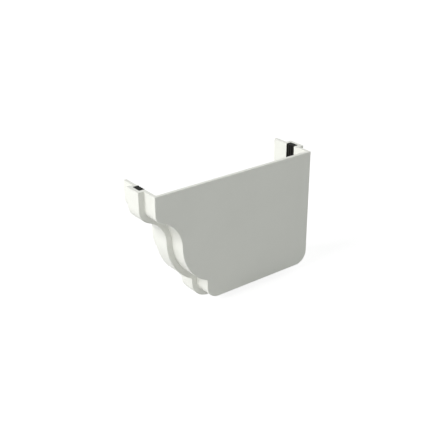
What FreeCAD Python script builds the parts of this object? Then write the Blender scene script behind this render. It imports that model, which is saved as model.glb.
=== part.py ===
import FreeCAD, Part
import math
import os
import Sketcher

# Gutter end cap for an ogee rain gutter: a one-piece moulding that pushes over the end of the gutter, with a
# raised band all round its section that holds a ribbed rubber seal.
# +X runs across the gutter from the ogee front to the flat back, +Y out of the mouth along the gutter, +Z up.
# The origin is where the middle of the gutter's base meets the end plate: on the socket's floor, mid width.

# Driving sizes in millimetres. The section's sizes are those of the socket's inside face.
SIZES = {
    # Section of the socket, from the floor upwards and from the front backwards
    "foot_height": 12.2,
    "ovolo_drop": 24.5,
    "cove_rise": 21.5,
    "fascia_height": 13.5,
    "cove_run": 17.0,
    "ovolo_run": 16.8,
    "floor_width": 73.2,
    "fascia_round": 4.0,
    "foot_round": 6.0,
    "heel_round": 6.0,
    # Round between ovolo and foot, the same on every face of the wall
    "ankle_round": 0.8,
    # Shell of the moulding
    "wall": 2.0,
    "plate_thickness": 2.0,
    "socket_depth": 28.7,
    "plate_edge_round": 0.4,
    "plate_root_round": 0.5,
    "mouth_edge_round": 0.4,
    # Raised band that houses the seal
    "band_setback": 8.3,
    "band_rise": 3.6,
    "band_skin": 2.2,
    "band_side": 2.4,
    "band_edge_round": 0.4,
    "band_root_round": 0.2,
    # Seal
    "seal_width": 6.4,
    "seal_side_clearance": 0.1,
    "seal_proud": 0.3,
    "rib_height": 0.6,
    "rib_width": 1.0,
    "rib_count": 4,
    "rib_round": 0.3,
}

# Two things this close together, in millimetres, touch.
TOUCH = 1e-5

doc = FreeCAD.newDocument("gutter_end_cap")
sheet = doc.addObject("Spreadsheet::Sheet", "sizes")
for row, (name, size) in enumerate(SIZES.items(), start=1):
    sheet.set(f"A{row}", str(size))
    sheet.setAlias(f"A{row}", name)
doc.recompute()


# Places and radii worked out from the sheet, as expressions that the features share
SOCKET_WIDTH = "(sizes.cove_run + sizes.ovolo_run + sizes.floor_width)"
FRONT_X = f"(-{SOCKET_WIDTH} / 2)"
BACK_X = f"({SOCKET_WIDTH} / 2)"
WAIST_X = f"({FRONT_X} + sizes.cove_run)"
FOOT_X = f"({WAIST_X} + sizes.ovolo_run)"
WAIST_Z = "(sizes.foot_height + sizes.ovolo_drop)"
TOP_Z = f"({WAIST_Z} + sizes.cove_rise + sizes.fascia_height)"
# Cuts run past the open top by a wall's thickness.
OPEN_TOP_Z = f"({TOP_Z} + sizes.wall)"
COVE_RADIUS = "((sizes.cove_run^2 + sizes.cove_rise^2) / (2 * sizes.cove_run))"
OVOLO_RADIUS = "((sizes.ovolo_run^2 + sizes.ovolo_drop^2) / (2 * sizes.ovolo_run))"

WALL_OFFSET = "sizes.wall"
BAND_OFFSET = "(sizes.wall + sizes.band_rise)"
GROOVE_OFFSET = f"({BAND_OFFSET} - sizes.band_skin)"
CREST_OFFSET = "(-sizes.seal_proud)"
VALLEY_OFFSET = f"({CREST_OFFSET} + sizes.rib_height)"

GROOVE_WIDTH = "(sizes.seal_width + 2 * sizes.seal_side_clearance)"
BAND_WIDTH = f"({GROOVE_WIDTH} + 2 * sizes.band_side)"
GROOVE_START = "(sizes.band_setback + sizes.band_side)"
SEAL_START = f"({GROOVE_START} + sizes.seal_side_clearance)"
# The first and the last rib lie along the seal's two sides.
RIB_PITCH = "((sizes.seal_width - sizes.rib_width) / (sizes.rib_count - 1))"
VALLEY_WIDTH = f"({RIB_PITCH} - sizes.rib_width)"


def number(expression):
    """The present value of an expression over the sheet, in millimetres."""
    return float(sheet.evalExpression(expression.replace("sizes.", "")))


def new_body(label):
    body = doc.addObject("PartDesign::Body", label)
    body.Label = label
    return body


def outline(body, name, station, offset, top=TOP_Z):
    """Sketch of the gutter's section, grown outwards by offset, across the gutter at the station along Y."""
    sketch = body.newObject("Sketcher::SketchObject", name)
    plane = next(item for item in body.Origin.OriginFeatures if item.Role == "XZ_Plane")
    sketch.AttachmentSupport = [(plane, "")]
    sketch.MapMode = "FlatFace"
    sketch.setExpression("AttachmentOffset.Base.z", f"-({station})")

    grown = number(offset)
    top_z = number(top)
    front_x = number(FRONT_X) - grown
    back_x = number(BACK_X) + grown
    foot_x = number(FOOT_X) - grown
    waist_z = number(WAIST_Z)
    cove_x = number(WAIST_X) - number(COVE_RADIUS)
    ovolo_x = number(WAIST_X) + number(OVOLO_RADIUS)
    cove_r = number(COVE_RADIUS) - grown
    ovolo_r = number(OVOLO_RADIUS) + grown
    lip_r = number("sizes.fascia_round") + grown
    ankle_r = number("sizes.ankle_round")
    foot_r = number("sizes.foot_round") + grown
    heel_r = number("sizes.heel_round") + grown

    # The fascia's round touches the fascia and, from outside, the cove.
    lip_x = front_x + lip_r
    lip_z = waist_z + math.sqrt((cove_r + lip_r) ** 2 - (lip_x - cove_x) ** 2)
    lip_turn = math.atan2(lip_z - waist_z, lip_x - cove_x)
    # The ankle's round touches the foot and, from outside, the ovolo.
    ankle_x = foot_x - ankle_r
    ankle_z = waist_z - math.sqrt((ovolo_r + ankle_r) ** 2 - (ovolo_x - ankle_x) ** 2)
    ankle_turn = math.atan2(waist_z - ankle_z, ovolo_x - ankle_x)

    def point(x, z):
        return FreeCAD.Vector(x, z, 0)

    def line(x_from, z_from, x_to, z_to):
        return sketch.addGeometry(Part.LineSegment(point(x_from, z_from), point(x_to, z_to)), False)

    def arc(x, z, radius, start, end):
        circle = Part.Circle(point(x, z), FreeCAD.Vector(0, 0, 1), radius)
        return sketch.addGeometry(Part.ArcOfCircle(circle, start, end), False)

    fascia = line(front_x, top_z, front_x, lip_z)
    lip = arc(lip_x, lip_z, lip_r, math.pi, math.pi + lip_turn)
    cove = arc(cove_x, waist_z, cove_r, 0, lip_turn)
    ovolo = arc(ovolo_x, waist_z, ovolo_r, math.pi, math.pi + ankle_turn)
    ankle = arc(ankle_x, ankle_z, ankle_r, 0, ankle_turn)
    foot = line(foot_x, ankle_z, foot_x, foot_r - grown)
    foot_arc = arc(foot_x + foot_r, foot_r - grown, foot_r, math.pi, 1.5 * math.pi)
    base = line(foot_x + foot_r, -grown, back_x - heel_r, -grown)
    heel_arc = arc(back_x - heel_r, heel_r - grown, heel_r, 1.5 * math.pi, 2 * math.pi)
    back = line(back_x, heel_r - grown, back_x, top_z)
    closing = line(back_x, top_z, front_x, top_z)

    start, end, centre = 1, 2, 3
    joints = [
        ("Tangent", fascia, end, lip, start),
        ("Tangent", lip, end, cove, end),
        ("Tangent", cove, start, ovolo, start),
        ("Tangent", ovolo, end, ankle, end),
        ("Tangent", ankle, start, foot, start),
        ("Tangent", foot, end, foot_arc, start),
        ("Tangent", foot_arc, end, base, start),
        ("Tangent", base, end, heel_arc, start),
        ("Tangent", heel_arc, end, back, start),
        ("Coincident", back, end, closing, start),
        ("Coincident", closing, end, fascia, start),
        ("Vertical", fascia),
        ("Vertical", foot),
        ("Vertical", back),
        ("Horizontal", base),
        ("Horizontal", closing),
    ]
    for joint in joints:
        sketch.addConstraint(Sketcher.Constraint(*joint))

    sizes = [
        (("DistanceX", fascia, start), f"{FRONT_X} - {offset}"),
        (("DistanceY", fascia, start), top),
        (("Radius", lip), f"sizes.fascia_round + {offset}"),
        (("DistanceX", cove, centre), f"{WAIST_X} - {COVE_RADIUS}"),
        (("DistanceY", cove, centre), WAIST_Z),
        (("Radius", cove), f"{COVE_RADIUS} - {offset}"),
        (("DistanceX", ovolo, centre), f"{WAIST_X} + {OVOLO_RADIUS}"),
        (("DistanceY", ovolo, centre), WAIST_Z),
        (("Radius", ankle), "sizes.ankle_round"),
        (("DistanceX", foot, start), f"{FOOT_X} - {offset}"),
        (("Radius", foot_arc), f"sizes.foot_round + {offset}"),
        (("DistanceY", base, start), f"-1 * {offset}"),
        (("Radius", heel_arc), f"sizes.heel_round + {offset}"),
        (("DistanceX", back, start), f"{BACK_X} + {offset}"),
    ]
    for what, expression in sizes:
        index = sketch.addConstraint(Sketcher.Constraint(*what, number(expression)))
        sketch.setExpression(f"Constraints[{index}]", expression)
    return sketch


def pad(body, name, sketch, length):
    """Solid from the sketch towards +Y."""
    feature = body.newObject("PartDesign::Pad", name)
    feature.Profile = sketch
    feature.Reversed = True
    feature.setExpression("Length", length)
    doc.recompute()
    return feature


def pocket(body, name, sketch, length):
    """Cut from the sketch towards +Y, which has to take material away."""
    before = body.Shape.Volume
    feature = body.newObject("PartDesign::Pocket", name)
    feature.Profile = sketch
    feature.setExpression("Length", length)
    doc.recompute()
    if body.Shape.Volume >= before:
        raise RuntimeError(f"{name} cut nothing")
    return feature


def round_edges(body, name, radius, wanted):
    """Fillet on every edge of the body that the test wants."""
    base = body.Tip
    names = [f"Edge{i}" for i, edge in enumerate(base.Shape.Edges, start=1) if wanted(edge)]
    feature = body.newObject("PartDesign::Fillet", name)
    feature.Base = (base, names)
    feature.setExpression("Radius", radius)
    doc.recompute()
    return feature


def lies_at(edge, *stations):
    """Whether the edge lies in a plane across the gutter at one of the stations."""
    box = edge.BoundBox
    return any(max(abs(box.YMin - y), abs(box.YMax - y)) < TOUCH for y in map(number, stations))


def along_wall(edge, *stations):
    """Whether the edge follows the section at one of the stations, rather than the open top."""
    return lies_at(edge, *stations) and edge.BoundBox.ZMin < number(TOP_Z) - TOUCH


def touches(edge, shape):
    """Whether the middle of the edge is on the shape."""
    middle = edge.valueAt((edge.FirstParameter + edge.LastParameter) / 2)
    return shape.distToShape(Part.Vertex(middle))[0] < TOUCH


# The moulded cap: end plate, thin wall round the gutter, and the hollow band
cap = new_body("end_cap")
plate_face = "(-sizes.plate_thickness)"
shell_sketch = outline(cap, "shell_outline", plate_face, WALL_OFFSET)
shell = pad(cap, "shell", shell_sketch, "sizes.plate_thickness + sizes.socket_depth")
round_edges(cap, "plate_edge", "sizes.plate_edge_round", lambda edge: lies_at(edge, plate_face))

band_sketch = outline(cap, "band_outline", "sizes.band_setback", BAND_OFFSET)
pad(cap, "band", band_sketch, BAND_WIDTH)
band_sides = ("sizes.band_setback", f"sizes.band_setback + {BAND_WIDTH}")
round_edges(cap, "band_edges", "sizes.band_edge_round",
            lambda edge: along_wall(edge, *band_sides) and not touches(edge, shell.Shape))
round_edges(cap, "band_roots", "sizes.band_root_round",
            lambda edge: along_wall(edge, *band_sides) and touches(edge, shell.Shape))

socket_sketch = outline(cap, "socket_outline", "0", "0", OPEN_TOP_Z)
pocket(cap, "socket", socket_sketch, "sizes.socket_depth")
round_edges(cap, "plate_root", "sizes.plate_root_round", lambda edge: along_wall(edge, "0"))
groove_sketch = outline(cap, "groove_outline", GROOVE_START, GROOVE_OFFSET, OPEN_TOP_Z)
pocket(cap, "seal_groove", groove_sketch, GROOVE_WIDTH)
round_edges(cap, "mouth_edges", "sizes.mouth_edge_round",
            lambda edge: along_wall(edge, "sizes.socket_depth"))

# The rubber seal: a strip that fills the groove, with ribs that stand a little into the socket
seal = new_body("rubber_seal")
strip_sketch = outline(seal, "strip_outline", SEAL_START, GROOVE_OFFSET)
pad(seal, "strip", strip_sketch, "sizes.seal_width")
crest_sketch = outline(seal, "crest_outline", SEAL_START, CREST_OFFSET, OPEN_TOP_Z)
crest = pocket(seal, "crest", crest_sketch, "sizes.seal_width")
valley_start = f"{SEAL_START} + sizes.rib_width"
valley_sketch = outline(seal, "valley_outline", valley_start, VALLEY_OFFSET, OPEN_TOP_Z)
valley = pocket(seal, "valley", valley_sketch, VALLEY_WIDTH)
valleys = seal.newObject("PartDesign::LinearPattern", "valleys")
valleys.Originals = [valley]
valleys.Direction = (valley_sketch, ["N_Axis"])
valleys.Reversed = True
valleys.setExpression("Length", f"{RIB_PITCH} * (sizes.rib_count - 2)")
valleys.setExpression("Occurrences", "sizes.rib_count - 1")
seal.Tip = valleys
doc.recompute()
rib_starts = [f"{SEAL_START} + {RIB_PITCH} * {rib}" for rib in range(round(number("sizes.rib_count")))]
rib_sides = rib_starts + [f"{start} + sizes.rib_width" for start in rib_starts]
crest_faces = Part.Compound(crest.Shape.Faces)
round_edges(seal, "rib_crests", "sizes.rib_round",
            lambda edge: along_wall(edge, *rib_sides) and touches(edge, crest_faces))

sub_parts = (cap, seal)
for item in doc.Objects:
    if {"Invalid", "Error"} & set(item.State):
        raise RuntimeError(f"{item.Name} failed: {item.State}")
for body in sub_parts:
    if body.Shape.isNull() or not body.Shape.isValid():
        raise RuntimeError(f"{body.Label} has no valid shape")

os.makedirs("parts", exist_ok=True)
for body in sub_parts:
    body.Shape.exportStep(f"parts/{body.Label}.step")
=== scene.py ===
import math

import bpy
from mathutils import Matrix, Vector


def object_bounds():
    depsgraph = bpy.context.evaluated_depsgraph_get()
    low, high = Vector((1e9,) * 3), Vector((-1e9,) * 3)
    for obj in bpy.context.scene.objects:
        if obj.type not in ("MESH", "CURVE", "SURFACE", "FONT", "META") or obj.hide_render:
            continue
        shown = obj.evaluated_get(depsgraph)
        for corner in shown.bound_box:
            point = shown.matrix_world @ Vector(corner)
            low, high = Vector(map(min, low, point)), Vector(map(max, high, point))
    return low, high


# Looks of the gutter end cap: a white plastic moulding with a satin skin and a matt black rubber seal, on a
# white floor. Lengths are in metres, in the frame of the solids: +X runs from the ogee front to the back,
# +Y out of the mouth and +Z up.

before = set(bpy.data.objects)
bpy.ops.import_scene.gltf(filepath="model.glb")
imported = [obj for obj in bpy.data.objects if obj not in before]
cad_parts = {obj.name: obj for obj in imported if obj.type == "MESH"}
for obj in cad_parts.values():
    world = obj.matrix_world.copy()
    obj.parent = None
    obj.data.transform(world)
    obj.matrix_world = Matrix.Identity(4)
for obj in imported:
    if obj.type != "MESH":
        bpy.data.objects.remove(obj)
solid_low, solid_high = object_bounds()

# Camera: the photograph's viewing angle, aimed at a point on the end plate's inner face
AIM = Vector((-0.0112, 0.0, 0.0454))
CAMERA_AZIMUTH = math.radians(-37.80)
CAMERA_ELEVATION = math.radians(25.35)
CAMERA_DISTANCE = 0.4568
CAMERA_NEAREST = 0.01
LENS_MM = 66.40
SENSOR_MM = 36.0

# Light: a room with pale walls and a dim ceiling, and two large soft lamps, the key on the ogee side and a
# weak fill on the side of the flat back. The room's light goes from walls to ceiling with the height of its
# direction, which is 0 at level and 1 straight up.
ROOM_COLOUR = (0.959, 1.0, 0.966, 1.0)
ROOM_WALLS = 0.760
ROOM_CEILING = 0.05
ROOM_HEIGHTS = (0.0, 1.0)
ROOM_SEEN = (1.0, 1.0, 1.0, 1.0)
KEY = {"azimuth": math.radians(-101), "elevation": math.radians(36), "watts": 58.5}
FILL = {"azimuth": math.radians(100), "elevation": math.radians(15), "watts": 20.0}
LAMP_DISTANCE = 2.6
LAMP_SIZE = 1.6

# Floor: a wide sheet just below the part. What is seen of it is a shaded share and a glow, which make white
# together outside the part's shadow. Over the fade, measured from the middle, the glow alone becomes white.
FLOOR_SIDE = 8.0
FLOOR_GAP = 0.0001
FLOOR_COLOUR = (0.6, 0.6, 0.6, 1.0)
FLOOR_SHADED = (0.285, 0.285, 0.285, 1.0)
FLOOR_GLOW = 0.865
FLOOR_FULL_GLOW = 1.0
FLOOR_FADE = (0.3, 1.5)

# Looks of each moulded material. Its colour lies between the darkest and the palest, and its roughness
# between the two values given. Tint, gloss and grain change over the lengths given.
PLASTIC = {
    "darkest": (0.836, 0.836, 0.787, 1.0),
    "palest": (0.860, 0.860, 0.811, 1.0),
    "tint_length": 0.030,
    "roughness": (0.36, 0.46),
    "gloss_length": 0.008,
    "grain_length": 0.0006,
    "grain_depth": 0.00005,
    "ior": 1.53,
    "specular_level": 0.5,
}
RUBBER = {
    "darkest": (0.009, 0.009, 0.008, 1.0),
    "palest": (0.018, 0.018, 0.016, 1.0),
    "tint_length": 0.004,
    "roughness": (0.74, 0.90),
    "gloss_length": 0.004,
    "grain_length": 0.0004,
    "grain_depth": 0.00004,
    "ior": 1.5,
    "specular_level": 0.2,
}

# Noise: how many finer layers it has, and the part of its values over which a look goes from end to end
TINT_DETAIL = 3
GLOSS_DETAIL = 2
GRAIN_DETAIL = 2
NOISE_RANGE = (0.3, 0.7)


def place_facing(thing, azimuth, elevation, distance):
    """Adds a camera or lamp to the scene, facing the aim; azimuth 0 is in front of the end plate."""
    level = math.cos(elevation)
    outwards = Vector((math.sin(azimuth) * level, -math.cos(azimuth) * level, math.sin(elevation)))
    bpy.context.scene.collection.objects.link(thing)
    thing.location = AIM + outwards * distance
    thing.rotation_euler = (-outwards).to_track_quat("-Z", "Y").to_euler()


class Nodes:
    """The node tree of one material or world, with short ways to add and join nodes."""

    def __init__(self, owner):
        owner.use_nodes = True
        self.tree = owner.node_tree
        self.tree.nodes.clear()

    def add(self, kind, **settings):
        node = self.tree.nodes.new(kind)
        for name, value in settings.items():
            setattr(node, name, value)
        return node

    def join(self, source, target):
        self.tree.links.new(source, target)

    def show(self, shader, kind):
        """Makes the shader the result of the tree, by an output node of this kind."""
        self.join(shader, self.add(kind).inputs["Surface"])

    def noise(self, place, length, detail):
        """Noise over the part whose lumps are about the given length."""
        node = self.add("ShaderNodeTexNoise")
        node.inputs["Scale"].default_value = 1 / length
        node.inputs["Detail"].default_value = detail
        self.join(place, node.inputs["Vector"])
        return node.outputs["Fac"]

    def between(self, factor, limits, low, high):
        """Number that goes from low to high while the factor goes from one limit to the other."""
        node = self.add("ShaderNodeMapRange")
        node.inputs["From Min"].default_value = limits[0]
        node.inputs["From Max"].default_value = limits[1]
        node.inputs["To Min"].default_value = low
        node.inputs["To Max"].default_value = high
        self.join(factor, node.inputs["Value"])
        return node.outputs["Result"]

    def blend(self, factor, first, second):
        """Colour that goes from the first to the second while the factor goes from 0 to 1."""
        node = self.add("ShaderNodeMix", data_type="RGBA")
        first_socket, second_socket = (socket for socket in node.inputs if socket.type == "RGBA")
        first_socket.default_value = first
        second_socket.default_value = second
        self.join(factor, node.inputs["Factor"])
        return next(socket for socket in node.outputs if socket.type == "RGBA")

    def choose(self, factor, first, second):
        """Shader that is the first at factor 0 and the second at factor 1."""
        node = self.add("ShaderNodeMixShader")
        factor_socket, first_socket, second_socket = node.inputs
        self.join(factor, factor_socket)
        self.join(first, first_socket)
        self.join(second, second_socket)
        return node.outputs["Shader"]

    def seen(self):
        """1 for rays that show a surface: from the camera, or by way of gloss or glass; 0 for the others."""
        path = self.add("ShaderNodeLightPath")
        result = path.outputs["Is Camera Ray"]
        for kind in ("Is Glossy Ray", "Is Transmission Ray"):
            larger = self.add("ShaderNodeMath", operation="MAXIMUM")
            self.join(result, larger.inputs[0])
            self.join(path.outputs[kind], larger.inputs[1])
            result = larger.outputs["Value"]
        return result


def moulded(name, darkest, palest, tint_length, roughness, gloss_length, grain_length, grain_depth, ior,
            specular_level):
    """Material of a moulded piece: slightly uneven tint and gloss, and a fine grain on its skin."""
    material = bpy.data.materials.new(name)
    nodes = Nodes(material)
    place = nodes.add("ShaderNodeTexCoord").outputs["Object"]
    shader = nodes.add("ShaderNodeBsdfPrincipled")
    shader.inputs["IOR"].default_value = ior
    shader.inputs["Specular IOR Level"].default_value = specular_level

    tint = nodes.between(nodes.noise(place, tint_length, TINT_DETAIL), NOISE_RANGE, 0, 1)
    nodes.join(nodes.blend(tint, darkest, palest), shader.inputs["Base Color"])
    gloss = nodes.between(nodes.noise(place, gloss_length, GLOSS_DETAIL), NOISE_RANGE, *roughness)
    nodes.join(gloss, shader.inputs["Roughness"])

    bump = nodes.add("ShaderNodeBump")
    bump.inputs["Distance"].default_value = grain_depth
    nodes.join(nodes.noise(place, grain_length, GRAIN_DETAIL), bump.inputs["Height"])
    nodes.join(bump.outputs["Normal"], shader.inputs["Normal"])

    nodes.show(shader.outputs["BSDF"], "ShaderNodeOutputMaterial")
    return material


def floor_white():
    """Material of the floor: matt for the light that it throws back, white with a shadow where it is seen."""
    material = bpy.data.materials.new("floor_white")
    nodes = Nodes(material)
    matt = nodes.add("ShaderNodeBsdfDiffuse")
    matt.inputs["Color"].default_value = FLOOR_COLOUR

    shaded = nodes.add("ShaderNodeBsdfDiffuse")
    shaded.inputs["Color"].default_value = FLOOR_SHADED
    distance = nodes.add("ShaderNodeVectorMath", operation="LENGTH")
    nodes.join(nodes.add("ShaderNodeTexCoord").outputs["Object"], distance.inputs["Vector"])
    strength = nodes.between(distance.outputs["Value"], FLOOR_FADE, FLOOR_GLOW, FLOOR_FULL_GLOW)
    glow = nodes.add("ShaderNodeEmission")
    nodes.join(strength, glow.inputs["Strength"])
    white = nodes.add("ShaderNodeAddShader")
    shaded_socket, glow_socket = white.inputs
    nodes.join(shaded.outputs["BSDF"], shaded_socket)
    nodes.join(glow.outputs["Emission"], glow_socket)

    shader = nodes.choose(nodes.seen(), matt.outputs["BSDF"], white.outputs["Shader"])
    nodes.show(shader, "ShaderNodeOutputMaterial")
    return material


def dress(node, material):
    """Gives a solid its material."""
    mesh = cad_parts[node].data
    mesh.materials.clear()
    mesh.materials.append(material)


def add_room():
    """World: soft light on the part, weaker from above, and plain white where it is seen."""
    world = bpy.data.worlds.new("room")
    bpy.context.scene.world = world
    nodes = Nodes(world)
    direction = nodes.add("ShaderNodeSeparateXYZ")
    nodes.join(nodes.add("ShaderNodeTexCoord").outputs["Generated"], direction.inputs["Vector"])
    light = nodes.add("ShaderNodeBackground")
    light.inputs["Color"].default_value = ROOM_COLOUR
    strength = nodes.between(direction.outputs["Z"], ROOM_HEIGHTS, ROOM_WALLS, ROOM_CEILING)
    nodes.join(strength, light.inputs["Strength"])
    white = nodes.add("ShaderNodeBackground")
    white.inputs["Color"].default_value = ROOM_SEEN

    shader = nodes.choose(nodes.seen(), light.outputs["Background"], white.outputs["Background"])
    nodes.show(shader, "ShaderNodeOutputWorld")


def add_floor():
    """Floor just below the part, which isn't a piece of the object."""
    bpy.ops.mesh.primitive_plane_add(size=FLOOR_SIDE, location=(0, 0, solid_low.z - FLOOR_GAP))
    floor = bpy.context.object
    floor.name = "floor"
    floor.data.materials.append(floor_white())


def add_lamp(name, azimuth, elevation, watts):
    """Large soft lamp that faces the part."""
    light = bpy.data.lights.new(name, "AREA")
    light.size = LAMP_SIZE
    light.energy = watts
    lamp = bpy.data.objects.new(name, light)
    place_facing(lamp, azimuth, elevation, LAMP_DISTANCE)


def add_camera():
    """Camera at the photograph's viewing angle."""
    lens = bpy.data.cameras.new("camera")
    lens.lens = LENS_MM
    lens.sensor_width = SENSOR_MM
    lens.clip_start = CAMERA_NEAREST
    camera = bpy.data.objects.new("camera", lens)
    place_facing(camera, CAMERA_AZIMUTH, CAMERA_ELEVATION, CAMERA_DISTANCE)
    bpy.context.scene.camera = camera


bpy.context.scene.view_settings.view_transform = "Standard"
dress("end_cap", moulded("white_plastic", **PLASTIC))
dress("rubber_seal", moulded("black_rubber", **RUBBER))
add_room()
add_floor()
add_lamp("key", **KEY)
add_lamp("fill", **FILL)
add_camera()
